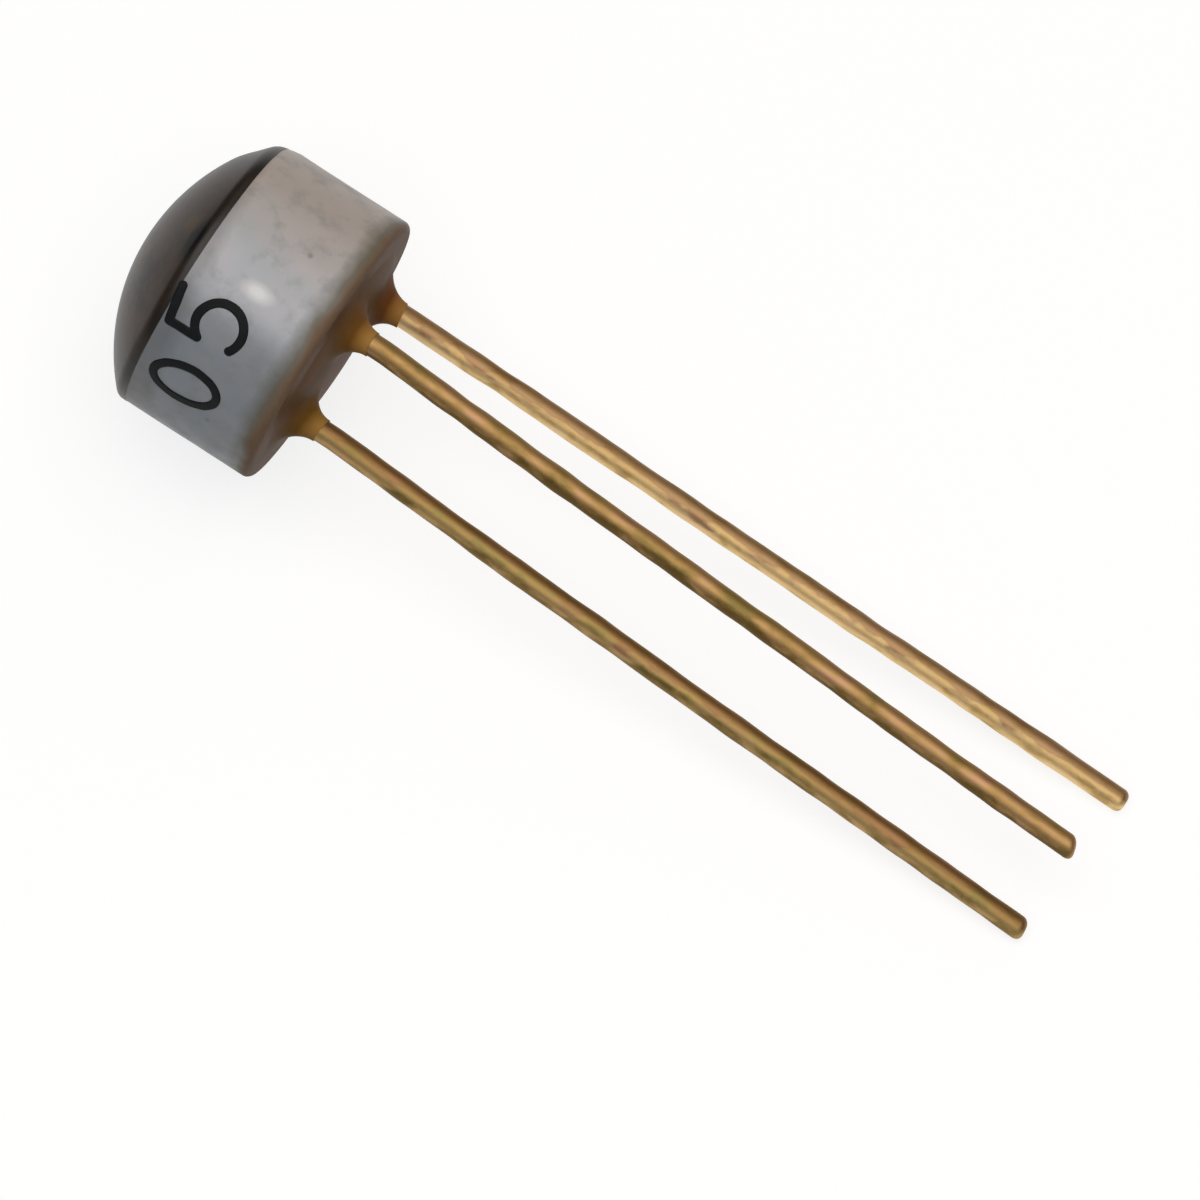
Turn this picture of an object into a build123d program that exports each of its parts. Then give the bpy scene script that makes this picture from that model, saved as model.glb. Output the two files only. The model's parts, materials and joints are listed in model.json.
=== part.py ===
from build123d import *
from math import asin, atan2, cos, degrees, radians, sin, sqrt
import os

# A phototransistor in a round package, lying as it comes to rest on a table.
# A white ceramic ring holds the chip. Smoky epoxy forms the lens on one end, brown epoxy pots the
# other, and three gold-plated leads come out of it. Sizes are in millimetres, angles in degrees.

# Leads: three of the four corners of a square, on the standard 2.54 mm pin circle
pin_circle_diameter = 2.54
lead_diameter = 0.40
lead_hole_diameter = 0.50
lead_head_diameter = 0.62
lead_head_thickness = 0.12
straight_below_seat = 0.80
lead_bend_radius = 3.0
lead_tip_round = 0.13

# Length of the leads below the seating face, and by how much two of them are longer
lead_length = 14.93
emitter_lead_extra = 0.28
collector_lead_extra = 0.03

# Angles of the free lengths: how far each strays sideways, how the top one sinks, how the tips are cut
emitter_lead_drift = 1.04
base_lead_drift = 2.77
collector_lead_drift = 2.50
base_lead_lift = -1.16
emitter_tip_slant = 2.0
base_tip_slant = 20.0
collector_tip_slant = 9.0

# Epoxy: the dome stands on a low rim over the whole end of the ring, the potting bulges out of the recess
dome_height = 1.03
lens_rim_height = 0.07
lens_edge_radius = 0.08
potting_crown = 0.22
meniscus_radius = 0.45
meniscus_film = 0.02

# Ceramic ring round the pin circle, with the web inside it that carries the chip
header_height = 2.52
base_edge_radius = 0.13
top_edge_chamfer = 0.08
recess_margin = 0.04
ring_wall = 0.545
recess_depth = 0.95
web_thickness = 0.60
cavity_margin = 0.17

# Sealed parts under the lens
film_thickness = 0.02
chip_pad_diameter = 1.20
land_diameter = 0.72
arm_width = 0.34
solder_side = 0.82
solder_thickness = 0.02
chip_side = 0.76
chip_thickness = 0.20
bond_pad_side = 0.12
bond_pad_thickness = 0.01
bond_pad_inset = 0.12
wire_diameter = 0.03
wire_loop_height = 0.22
wire_bend_radius = 0.10
wire_ball_diameter = 0.09
wire_ball_height = 0.03
stitch_setback = 0.18

# Printed digits on the side of the ring
ink_thickness = 0.02
digit_height = 1.33
digit_width = 0.86
digit_stroke = 0.15
print_skew = 9.0
zero_angle = -66.5
zero_height = 1.57
five_angle = -37.2
five_height = 1.77

# The package leans towards its lead tips by this much as it lies
lying_tilt = 8.0

pin_circle_radius = pin_circle_diameter / 2
lead_radius = lead_diameter / 2
lead_hole_radius = lead_hole_diameter / 2
lead_head_radius = lead_head_diameter / 2
meniscus_foot = lead_radius + meniscus_film + meniscus_radius
recess_radius = pin_circle_radius + meniscus_foot + recess_margin
body_radius = recess_radius + ring_wall
crown_radius = (recess_radius**2 + potting_crown**2) / (2 * potting_crown)
meniscus_base = sqrt(crown_radius**2 - pin_circle_radius**2) - crown_radius + potting_crown
cavity_radius = pin_circle_radius + lead_head_radius + cavity_margin
emitter_lead_length = lead_length + emitter_lead_extra
base_lead_length = lead_length
collector_lead_length = lead_length + collector_lead_extra
web_top = recess_depth + web_thickness
film_top = web_top + film_thickness
head_top = film_top + lead_head_thickness
chip_base = film_top + solder_thickness
chip_top = chip_base + chip_thickness
bond_pad_top = chip_top + bond_pad_thickness
dome_radius = (body_radius**2 + dome_height**2) / (2 * dome_height)
lens_rim = header_height + lens_rim_height
dome_centre_height = lens_rim + dome_height - dome_radius


def rest_height(round_radius, overhang, slope):
    """Height of a round edge's nearby axis point above the floor that the edge touches."""
    return round_radius + (overhang - round_radius) * cos(slope)


# The base rim touches the floor under the body's axis
tilt = radians(lying_tilt)
seat_height = rest_height(base_edge_radius, body_radius, tilt) - base_edge_radius * sin(tilt)


def lift_to_floor(length, drift):
    """Angle by which a lower lead bends up from the body's axis so that its tip touches the floor."""
    bend_height = seat_height - straight_below_seat * sin(tilt)
    reach = length - straight_below_seat - lead_tip_round
    slope = asin((bend_height - lead_radius) / reach)
    drop = bend_height - rest_height(lead_tip_round, lead_radius, slope)
    return degrees(tilt - asin(drop / reach / cos(radians(drift))))


emitter_lead_lift = lift_to_floor(emitter_lead_length, emitter_lead_drift)
collector_lead_lift = lift_to_floor(collector_lead_length, collector_lead_drift)


def heading(lift, drift):
    """Direction of a lead's free length, in the body's own axes."""
    across = cos(radians(drift))
    return Vector(across * sin(radians(lift)), -sin(radians(drift)), -across * cos(radians(lift)))


# The body's own axes: Z to the dome, X up to the base lead, Y to the emitter lead
spots = {
    "emitter": (0, pin_circle_radius),
    "base": (pin_circle_radius, 0),
    "collector": (0, -pin_circle_radius),
}

# The origin is under the middle of the box that holds the part
dome_reach = dome_radius + dome_centre_height * cos(tilt)
emitter_run = (emitter_lead_length - straight_below_seat) * cos(radians(emitter_lead_drift))
tip_drop = seat_height - lead_radius - straight_below_seat * sin(tilt)
tip_reach = straight_below_seat * cos(tilt) + sqrt(emitter_run**2 - tip_drop**2)
seat = Plane(
    origin=((dome_reach - tip_reach) / 2, 0, seat_height),
    x_dir=(sin(tilt), 0, cos(tilt)),
    z_dir=(-cos(tilt), 0, sin(tilt)),
)
section = Plane(origin=seat.origin, x_dir=seat.x_dir, z_dir=-seat.y_dir)
body_axis = Axis(seat.origin, seat.z_dir)


def make_lead(spot, length, lift, drift, slant):
    """Gold-plated wire with a flat head, a straight shank, a slight bend and a long free length."""
    bend_start = seat.from_local_coords((*spot, -straight_below_seat))
    local_heading = heading(lift, drift)
    run = (seat.from_local_coords(local_heading) - seat.origin).normalized()
    aside = (seat.from_local_coords((local_heading.X, local_heading.Y, 0)) - seat.origin).normalized()
    bend_angle = degrees(atan2(sqrt(local_heading.X**2 + local_heading.Y**2), -local_heading.Z))
    tip = bend_start + run * (length - straight_below_seat)
    cut = run * cos(radians(slant)) + seat.y_dir * sin(radians(slant))
    with BuildPart() as lead:
        with BuildSketch(seat.offset(film_top)):
            with Locations(spot):
                Circle(lead_head_radius)
        extrude(amount=lead_head_thickness)
        with BuildSketch(seat.offset(film_top)):
            with Locations(spot):
                Circle(lead_radius)
        extrude(amount=-(film_top + straight_below_seat))
        with BuildSketch(seat.offset(-straight_below_seat)):
            with Locations(spot):
                Circle(lead_radius)
        revolve(
            axis=Axis(bend_start + aside * lead_bend_radius, (-seat.z_dir).cross(aside)),
            revolution_arc=bend_angle,
        )
        extrude(to_extrude=lead.faces().sort_by(Axis(seat.origin, -seat.z_dir))[-1], amount=length)
        split(bisect_by=Plane(origin=tip, z_dir=cut), keep=Keep.BOTTOM)
        fillet(lead.faces().sort_by(Axis(seat.origin, run))[-1].edges(), radius=lead_tip_round)
    return lead


emitter_lead = make_lead(
    spots["emitter"], emitter_lead_length, emitter_lead_lift, emitter_lead_drift, emitter_tip_slant
)
base_lead = make_lead(spots["base"], base_lead_length, base_lead_lift, base_lead_drift, base_tip_slant)
collector_lead = make_lead(
    spots["collector"], collector_lead_length, collector_lead_lift, collector_lead_drift, collector_tip_slant
)

# White pressed alumina: a ring with a web across it and a hole in the web for each lead
with BuildPart() as ceramic_header:
    with BuildSketch(section):
        with BuildLine():
            Polyline(
                (recess_radius, 0),
                (body_radius, 0),
                (body_radius, header_height - top_edge_chamfer),
                (body_radius - top_edge_chamfer, header_height),
                (cavity_radius, header_height),
                (cavity_radius, web_top),
                (0, web_top),
                (0, recess_depth),
                (recess_radius, recess_depth),
                close=True,
            )
        make_face()
    revolve(axis=body_axis)
    with BuildSketch(seat.offset(recess_depth)):
        with Locations(*spots.values()):
            Circle(lead_hole_radius)
    extrude(amount=web_thickness, mode=Mode.SUBTRACT)
    base_rim = ceramic_header.faces().sort_by(body_axis)[0].edges().sort_by(SortBy.RADIUS)[-1]
    fillet(base_rim, radius=base_edge_radius)

# Brown epoxy: fills the recess and the lead holes, bulges a little and climbs each lead
with BuildPart() as base_potting:
    with BuildSketch(section):
        with BuildLine():
            bulge = RadiusArc((recess_radius, 0), (0, -potting_crown), crown_radius)
            Polyline(bulge @ 1, (0, recess_depth), (recess_radius, recess_depth), bulge @ 0)
        make_face()
    revolve(axis=body_axis)
    with BuildSketch(seat.offset(recess_depth)):
        with Locations(*spots.values()):
            Circle(lead_hole_radius)
    extrude(amount=web_thickness)
    for spot in spots.values():
        foot = seat.from_local_coords((*spot, -meniscus_base))
        lead_section = Plane(foot, x_dir=seat.x_dir, z_dir=-seat.y_dir)
        with BuildSketch(lead_section):
            with BuildLine():
                climb = CenterArc((meniscus_foot, -meniscus_radius), meniscus_radius, 90, 90)
                Polyline(
                    climb @ 1,
                    (0, -meniscus_radius),
                    (0, recess_depth / 2),
                    (meniscus_foot, recess_depth / 2),
                    climb @ 0,
                )
            make_face()
        revolve(axis=Axis(lead_section.origin, seat.z_dir))
    for lead in (emitter_lead, base_lead, collector_lead):
        add(lead.part, mode=Mode.SUBTRACT)


def make_land(spot):
    """Fired gold film in a ring round a lead's hole."""
    with BuildPart() as land:
        with BuildSketch(seat.offset(web_top)):
            with Locations(spot):
                Circle(land_diameter / 2)
                Circle(lead_radius, mode=Mode.SUBTRACT)
        extrude(amount=film_thickness)
    return land


emitter_land = make_land(spots["emitter"])
base_land = make_land(spots["base"])

# The collector's film also lies under the chip, and an arm joins the two
with BuildPart() as collector_pad:
    with BuildSketch(seat.offset(web_top)):
        Circle(chip_pad_diameter / 2)
        with Locations((0, -pin_circle_radius / 2)):
            Rectangle(arm_width, pin_circle_radius)
        with Locations(spots["collector"]):
            Circle(land_diameter / 2)
            Circle(lead_radius, mode=Mode.SUBTRACT)
    extrude(amount=film_thickness)

# Solder under the chip, as a thin square that shows a rim round it
with BuildPart() as die_attach:
    with BuildSketch(seat.offset(film_top)):
        Rectangle(solder_side, solder_side)
    extrude(amount=solder_thickness)

with BuildPart() as silicon_chip:
    with BuildSketch(seat.offset(chip_base)):
        Rectangle(chip_side, chip_side)
    extrude(amount=chip_thickness)

# Metal pads on the chip, each near the edge that faces its lead
pad_offset = chip_side / 2 - bond_pad_inset
pad_spots = {"base": (pad_offset, 0), "emitter": (0, pad_offset)}


def make_bond_pad(spot):
    """Square metal pad on the chip's face."""
    with BuildPart() as pad:
        with BuildSketch(seat.offset(chip_top)):
            with Locations(spot):
                Rectangle(bond_pad_side, bond_pad_side)
        extrude(amount=bond_pad_thickness)
    return pad


base_bond_pad = make_bond_pad(pad_spots["base"])
emitter_bond_pad = make_bond_pad(pad_spots["emitter"])


def make_bond_wire(start, lead_spot):
    """Gold wire: a ball on the chip's pad, a loop, and a foot on the head of the lead."""
    inward = (pin_circle_radius - stitch_setback) / pin_circle_radius
    end = (lead_spot[0] * inward, lead_spot[1] * inward)
    loop_top = bond_pad_top + wire_loop_height
    with BuildPart() as wire:
        with BuildLine():
            FilletPolyline(
                seat.from_local_coords((*start, bond_pad_top)),
                seat.from_local_coords((*start, loop_top)),
                seat.from_local_coords((*end, loop_top)),
                seat.from_local_coords((*end, head_top)),
                radius=wire_bend_radius,
            )
        with BuildSketch(seat.offset(bond_pad_top)):
            with Locations(start):
                Circle(wire_diameter / 2)
        sweep()
        for foot_spot, foot_height in ((start, bond_pad_top), (end, head_top)):
            with BuildSketch(seat.offset(foot_height)):
                with Locations(foot_spot):
                    Circle(wire_ball_diameter / 2)
            extrude(amount=wire_ball_height)
    return wire


base_wire = make_bond_wire(pad_spots["base"], spots["base"])
emitter_wire = make_bond_wire(pad_spots["emitter"], spots["emitter"])

# Smoky epoxy lens: a dome out to the ring's edge, and a plug that seals the chip in the cavity
with BuildPart() as epoxy_lens:
    with BuildSketch(section):
        with BuildLine():
            crest = (0, lens_rim + dome_height)
            dome = RadiusArc((body_radius, lens_rim), crest, -dome_radius)
            Polyline(
                dome @ 1,
                (0, web_top),
                (cavity_radius, web_top),
                (cavity_radius, header_height),
                (body_radius - top_edge_chamfer, header_height),
                (body_radius, header_height - top_edge_chamfer),
                dome @ 0,
            )
        make_face()
    revolve(axis=body_axis)
    lens_edge = epoxy_lens.faces().sort_by(body_axis)[-1].edges().sort_by(body_axis)[0]
    fillet(lens_edge, radius=lens_edge_radius)
    for sealed in (
        emitter_lead,
        base_lead,
        collector_lead,
        emitter_land,
        base_land,
        collector_pad,
        die_attach,
        silicon_chip,
        base_bond_pad,
        emitter_bond_pad,
        base_wire,
        emitter_wire,
    ):
        add(sealed.part, mode=Mode.SUBTRACT)

# Two plain digits, drawn flat and then laid on the side of the ring as a film of ink
with BuildSketch() as zero_glyph:
    Ellipse(digit_width / 2, digit_height / 2)
    Ellipse(digit_width / 2 - digit_stroke, digit_height / 2 - digit_stroke, mode=Mode.SUBTRACT)

with BuildSketch() as five_glyph:
    with BuildLine():
        half_width = (digit_width - digit_stroke) / 2
        half_height = (digit_height - digit_stroke) / 2
        Polyline((half_width, half_height), (-half_width * 0.8, half_height), (-half_width, half_height * 0.1))
        ThreePointArc(
            (-half_width, half_height * 0.1),
            (half_width, -half_height * 0.35),
            (-half_width, -half_height * 0.9),
        )
    trace(line_width=digit_stroke)


def print_on_side(glyph, angle, height):
    """Ink in the shape of a glyph, on the ring's side, with the glyph's top towards the dome."""
    outward = Vector(cos(radians(angle)), sin(radians(angle)), 0)
    across = Vector(-sin(radians(angle)), cos(radians(angle)), 0)
    skewed = across * cos(radians(print_skew)) + Vector(0, 0, 1) * sin(radians(print_skew))
    middle = seat.from_local_coords((0, 0, height))
    glyph_plane = Plane(
        origin=middle,
        x_dir=seat.from_local_coords(skewed) - seat.origin,
        z_dir=seat.from_local_coords(outward) - seat.origin,
    )
    with BuildPart() as ink:
        with BuildSketch(glyph_plane.offset(body_radius / 2)):
            add(glyph.sketch)
        extrude(amount=body_radius)
        with BuildSketch(seat):
            Circle(body_radius + ink_thickness)
            Circle(body_radius, mode=Mode.SUBTRACT)
        extrude(amount=header_height, mode=Mode.INTERSECT)
    return ink


printed_zero = print_on_side(zero_glyph, zero_angle, zero_height)
printed_five = print_on_side(five_glyph, five_angle, five_height)

ceramic_header.part.label = "ceramic_header"
epoxy_lens.part.label = "epoxy_lens"
base_potting.part.label = "base_potting"
emitter_lead.part.label = "emitter_lead"
base_lead.part.label = "base_lead"
collector_lead.part.label = "collector_lead"
collector_pad.part.label = "collector_pad"
emitter_land.part.label = "emitter_land"
base_land.part.label = "base_land"
die_attach.part.label = "die_attach"
silicon_chip.part.label = "silicon_chip"
base_bond_pad.part.label = "base_bond_pad"
emitter_bond_pad.part.label = "emitter_bond_pad"
base_wire.part.label = "base_wire"
emitter_wire.part.label = "emitter_wire"
printed_zero.part.label = "printed_zero"
printed_five.part.label = "printed_five"

os.makedirs("parts", exist_ok=True)
export_step(ceramic_header.part, "parts/ceramic_header.step")
export_step(epoxy_lens.part, "parts/epoxy_lens.step")
export_step(base_potting.part, "parts/base_potting.step")
export_step(emitter_lead.part, "parts/emitter_lead.step")
export_step(base_lead.part, "parts/base_lead.step")
export_step(collector_lead.part, "parts/collector_lead.step")
export_step(collector_pad.part, "parts/collector_pad.step")
export_step(emitter_land.part, "parts/emitter_land.step")
export_step(base_land.part, "parts/base_land.step")
export_step(die_attach.part, "parts/die_attach.step")
export_step(silicon_chip.part, "parts/silicon_chip.step")
export_step(base_bond_pad.part, "parts/base_bond_pad.step")
export_step(emitter_bond_pad.part, "parts/emitter_bond_pad.step")
export_step(base_wire.part, "parts/base_wire.step")
export_step(emitter_wire.part, "parts/emitter_wire.step")
export_step(printed_zero.part, "parts/printed_zero.step")
export_step(printed_five.part, "parts/printed_five.step")
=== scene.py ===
# A phototransistor in a small round ceramic package, lying as it comes to rest on a table.
# The file builds it in the order of its making: three gold-plated leads go through a ceramic
# header, the chip is soldered and wired to them, a smoky epoxy lens seals it, and brown epoxy
# pots the base.

import json
import math

import bmesh
import bpy
from mathutils import Matrix, Vector, geometry, noise


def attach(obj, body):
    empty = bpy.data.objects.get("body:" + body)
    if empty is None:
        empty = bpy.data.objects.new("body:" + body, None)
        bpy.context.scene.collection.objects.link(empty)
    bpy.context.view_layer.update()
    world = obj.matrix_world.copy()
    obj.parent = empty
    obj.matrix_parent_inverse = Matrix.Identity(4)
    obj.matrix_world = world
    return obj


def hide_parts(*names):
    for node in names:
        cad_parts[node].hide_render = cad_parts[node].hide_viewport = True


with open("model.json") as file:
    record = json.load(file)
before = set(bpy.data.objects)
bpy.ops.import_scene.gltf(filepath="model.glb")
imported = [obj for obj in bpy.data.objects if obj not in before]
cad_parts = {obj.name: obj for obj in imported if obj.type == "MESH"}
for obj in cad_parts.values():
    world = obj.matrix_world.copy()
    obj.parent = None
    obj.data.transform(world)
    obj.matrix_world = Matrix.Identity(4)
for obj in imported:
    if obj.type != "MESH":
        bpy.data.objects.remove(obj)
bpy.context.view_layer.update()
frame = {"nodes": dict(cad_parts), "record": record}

# Ceramic header
# A ring of alumina with a web across it, pressed dry from powder and fired. The leads go through
# three holes in the web. The fired skin is satin, a little uneven, greyed by handling, and stained
# by flux at the base.

MM = 0.001
header_height = 2.52 * MM
body_radius = 2.525 * MM
recess_radius = 1.98 * MM
recess_depth = 0.95 * MM
web_top = 1.55 * MM
cavity_radius = 1.75 * MM
base_rounding = 0.13 * MM
top_chamfer = 0.08 * MM
lead_hole_radius = 0.25 * MM
pin_circle_radius = 1.27 * MM
pressing_dents = 0.012 * MM
dented_from = recess_radius * 1.01
worn_angle = math.radians(65)
worn_depth = 0.27 * MM
worn_from = cavity_radius * 1.1
wear_fade = 0.35 * MM
wear_narrowness = 8
corner_wear = 0.03

# How fine the meshes are. Sheets are rows of triangles with equal sides, 0.866 of a side high
ring_corners = 192
lead_corners = 64
profile_step = 0.12 * MM
sheet_step = 0.06 * MM
row_rise = 0.866
rim_gap = sheet_step * 0.6
lead_gap = 0.03 * MM
# Slack for faces inside a hole, for corners that fall together, and for rings shrunk to a point
just_inside = 0.995
same_spot = 1e-6
point_radius = 1e-9

# The body's own axes, from its mounts: X to the top lead, Y to the emitter lead, Z to the dome
mounts = {mount["name"]: mount for mount in frame["record"]["mounts"]}
barrel_middle = Vector(mounts["barrel"]["pos_m"])
face_point = Vector(mounts["seating_face"]["pos_m"])
to_dome = Vector(mounts["barrel"]["axis"]).normalized()
to_emitter = Vector((0, 1, 0))
to_base_lead = to_emitter.cross(to_dome)
body = Matrix((to_base_lead, to_emitter, to_dome)).transposed().to_4x4()
body.translation = barrel_middle + to_dome * (face_point - barrel_middle).dot(to_dome)

pins = {
    "emitter_lead": Vector((0, pin_circle_radius, 0)),
    "base_lead": Vector((pin_circle_radius, 0, 0)),
    "collector_lead": Vector((0, -pin_circle_radius, 0)),
}


def arc(middle, radius, start, end, steps=8):
    """Points on an arc from one angle to another, in degrees."""
    angles = [math.radians(start + (end - start) * i / steps) for i in range(steps + 1)]
    return [(middle[0] + radius * math.cos(a), middle[1] + radius * math.sin(a)) for a in angles]


def divided(points):
    """The same line, with points added so that no run is longer than the profile step."""
    line = [points[0]]
    for start, end in zip(points, points[1:]):
        count = max(1, math.ceil(math.dist(start, end) / profile_step))
        line += [tuple(Vector(start).lerp(Vector(end), i / count)) for i in range(1, count + 1)]
    return line


def circle(middle, radius, count):
    """Points round a circle."""
    angles = [2 * math.pi * i / count for i in range(count)]
    return [Vector((middle[0] + radius * math.cos(a), middle[1] + radius * math.sin(a))) for a in angles]


def around_body(radius, angle, height):
    """A place on the body, by its radius, its angle in degrees and its height."""
    return Vector((radius * math.cos(math.radians(angle)), radius * math.sin(math.radians(angle)), height))


def turned(profile):
    """Mesh that a line of (radius, height) points makes when it turns round Z."""
    mesh = bmesh.new()
    rings = []
    for radius, height in profile:
        if radius < point_radius:
            rings.append([mesh.verts.new((0, 0, height))] * ring_corners)
        else:
            rings.append([mesh.verts.new((*spot, height)) for spot in circle((0, 0), radius, ring_corners)])
    for ring, after in zip(rings, rings[1:]):
        add_wall(mesh, ring, after)
    return mesh


def add_wall(mesh, loop, after):
    """Adds a strip of faces between two loops of the same number of corners."""
    for i in range(len(loop)):
        corners = list(dict.fromkeys((loop[i - 1], loop[i], after[i], after[i - 1])))
        if len(corners) > 2:
            mesh.faces.new(corners)


def nearest_lead(spot):
    """Distance from a spot to the middle of the nearest lead."""
    return min((spot - pin.xy).length for pin in pins.values())


def add_sheet(mesh, loops, hole_radius, clear_radius, height_at):
    """Adds a triangulated disc with a hole round each lead, and returns the corners of its edges.

    The outer loop and the holes' loops come first. Within the clear radius of a lead there are no
    corners but those of the loops.
    """
    spots = [spot for loop in loops for spot in loop]
    edge = loops[0][0].length
    count = math.ceil(edge / sheet_step)
    for i in range(-count, count + 1):
        for j in range(-2 * count, 2 * count + 1):
            spot = Vector(((i + (j % 2) / 2) * sheet_step, j * sheet_step * row_rise))
            if spot.length < edge - rim_gap and nearest_lead(spot) > clear_radius + lead_gap:
                spots.append(spot)
    corners, _, faces, sources, _, _ = geometry.delaunay_2d_cdt([s / MM for s in spots], [], [], 0, same_spot)
    made = {}
    verts = []
    for corner, source in zip(corners, sources):
        spot = corner * MM
        verts.append(mesh.verts.new((spot.x, spot.y, height_at(spot))))
        made.update((i, verts[-1]) for i in source)
    for face in faces:
        middle = sum((corners[i] for i in face), Vector((0, 0))) / len(face) * MM
        if nearest_lead(middle) > hole_radius * just_inside:
            mesh.faces.new([verts[i] for i in face])
    ends = [sum(len(loop) for loop in loops[:i]) for i in range(len(pins) + 2)]
    return [[made[i] for i in range(start, end)] for start, end in zip(ends, ends[1:])]


def clamped(value):
    """The value, kept between 0 and 1."""
    return min(1, max(0, value))


def wear_far_corner(mesh):
    """Draws the top edge in a little on the far side, where epoxy and ring are worn."""
    for vertex in mesh.verts:
        around = max(0, math.cos(math.atan2(vertex.co.y, vertex.co.x) - worn_angle)) ** wear_narrowness
        upward = clamped((vertex.co.z - header_height + worn_depth) / wear_fade)
        outward = clamped((vertex.co.xy.length - worn_from) / wear_fade)
        vertex.co.xy *= 1 - corner_wear * around * upward * outward


def keep_own_place(data):
    """Stores each corner's place in the piece's own coordinates, which its patterns follow."""
    own_place = data.attributes.new("own_place", "FLOAT_VECTOR", "POINT")
    own_place.data.foreach_set("vector", [part for vertex in data.vertices for part in vertex.co])


def add_piece(name, mesh, material, place=body):
    """A finished piece, which stands for the CAD node of the same name and keeps its own coordinates."""
    bmesh.ops.recalc_face_normals(mesh, faces=mesh.faces)
    data = bpy.data.meshes.new(name)
    mesh.to_mesh(data)
    mesh.free()
    keep_own_place(data)
    data.transform(place)
    data.shade_smooth()
    data.set_sharp_from_angle(angle=math.radians(40))
    data.materials.append(material)
    piece = bpy.data.objects.new(name + "_piece", data)
    bpy.context.scene.collection.objects.link(piece)
    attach(piece, "root")
    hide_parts(name)


def colour(code):
    """The linear colour of an sRGB hex code."""
    parts = [int(code[i : i + 2], 16) / 255 for i in (0, 2, 4)]
    return (*[c / 12.92 if c <= 0.04045 else ((c + 0.055) / 1.055) ** 2.4 for c in parts], 1)


def per(millimetres):
    """Texture scale of a pattern that repeats about every so many millimetres."""
    return 1 / (millimetres * MM)


def add_node(tree, kind, inputs=None, stops=(), **settings):
    """A new node. An input is a value or another node's socket, and stops are a ramp's colours."""
    made = tree.nodes.new("ShaderNode" + kind)
    for name, value in settings.items():
        setattr(made, name, value)
    for name, value in (inputs or {}).items():
        if isinstance(value, bpy.types.NodeSocket):
            tree.links.new(value, made.inputs[name])
        else:
            made.inputs[name].default_value = value
    for i, (position, code) in enumerate(stops):
        if i > 1:
            made.color_ramp.elements.new(position)
        made.color_ramp.elements[i].position = position
        made.color_ramp.elements[i].color = colour(code)
    return made


def new_material(name):
    """An empty node material, its tree, and the socket with the piece's own coordinates."""
    material = bpy.data.materials.new(name)
    material.use_nodes = True
    tree = material.node_tree
    tree.nodes.clear()
    return material, tree, add_node(tree, "Attribute", attribute_name="own_place").outputs["Vector"]


# Fired alumina is a dense oxide, white when clean. Its grain of a few microns leaves it satin. This
# ring is grey with handling: faint warm and cool clouds, smaller stains and a few dark specks.
alumina, tree, place = new_material("fired_alumina_satin")
parts = add_node(tree, "SeparateXYZ", {"Vector": place})
clouds = add_node(tree, "TexNoise", {"Vector": place, "Scale": per(1.3), "Detail": 3, "Roughness": 0.55})
clean = add_node(
    tree,
    "ValToRGB",
    {"Fac": clouds.outputs["Fac"]},
    stops=[(0.32, "9da9b3"), (0.47, "a7afb8"), (0.60, "b2b3ba"), (0.74, "a4a7ac")],
)
# The near side is painted greyer as shade, and the far side is painted warmer as warm light from behind
near_side_shade = add_node(
    tree,
    "MapRange",
    {
        "Value": parts.outputs["Y"],
        "From Min": -0.38 * body_radius,
        "From Max": -0.62 * body_radius,
        "To Max": 0.6,
    },
    interpolation_type="SMOOTHSTEP",
)
far_side_warm_light = add_node(
    tree,
    "MapRange",
    {
        "Value": parts.outputs["Y"],
        "From Min": -0.5 * body_radius,
        "From Max": 0.5 * body_radius,
        "To Max": 0.85,
    },
)
stains = add_node(tree, "TexNoise", {"Vector": place, "Scale": per(0.4), "Detail": 4, "Roughness": 0.6})
stained = add_node(
    tree, "MapRange", {"Value": stains.outputs["Fac"], "From Min": 0.5, "From Max": 0.74, "To Max": 0.5}
)
grit = add_node(tree, "TexVoronoi", {"Vector": place, "Scale": per(0.6)})
specks = add_node(
    tree,
    "MapRange",
    {"Value": grit.outputs["Distance"], "From Min": 0.04, "From Max": 0.12, "To Min": 0.4, "To Max": 0.0},
)
# Flux and epoxy have crept up the base edge in an olive tide line, and a little grime and painted shade line
# the top
waver = add_node(tree, "TexNoise", {"Vector": place, "Scale": per(0.7), "Detail": 3})
ragged = add_node(
    tree,
    "MapRange",
    {
        "Value": waver.outputs["Fac"],
        "From Min": 0.3,
        "From Max": 0.7,
        "To Min": -0.08 * MM,
        "To Max": 0.08 * MM,
    },
)
sag = add_node(
    tree, "Math", {0: parts.outputs["Y"], 1: 0.02, 2: ragged.outputs["Result"]}, operation="MULTIPLY_ADD"
)
wall_height = add_node(tree, "Math", {0: parts.outputs["Z"], 1: sag.outputs["Value"]}, operation="ADD")
tide = add_node(
    tree,
    "MapRange",
    {"Value": wall_height.outputs["Value"], "From Min": 0.48 * MM, "From Max": 0.20 * MM, "To Max": 0.88},
)
smear = add_node(
    tree,
    "MapRange",
    {"Value": wall_height.outputs["Value"], "From Min": 0.24 * MM, "From Max": 0.06 * MM, "To Max": 0.95},
)
# The painted shade along the top reaches lower on the near side
top_height = add_node(
    tree, "Math", {0: parts.outputs["Y"], 1: -0.15, 2: wall_height.outputs["Value"]}, operation="MULTIPLY_ADD"
)
grime_and_shade = add_node(
    tree,
    "MapRange",
    {
        "Value": top_height.outputs["Value"],
        "From Min": header_height - 0.30 * MM,
        "From Max": header_height - 0.05 * MM,
        "To Max": 0.45,
    },
)
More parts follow.
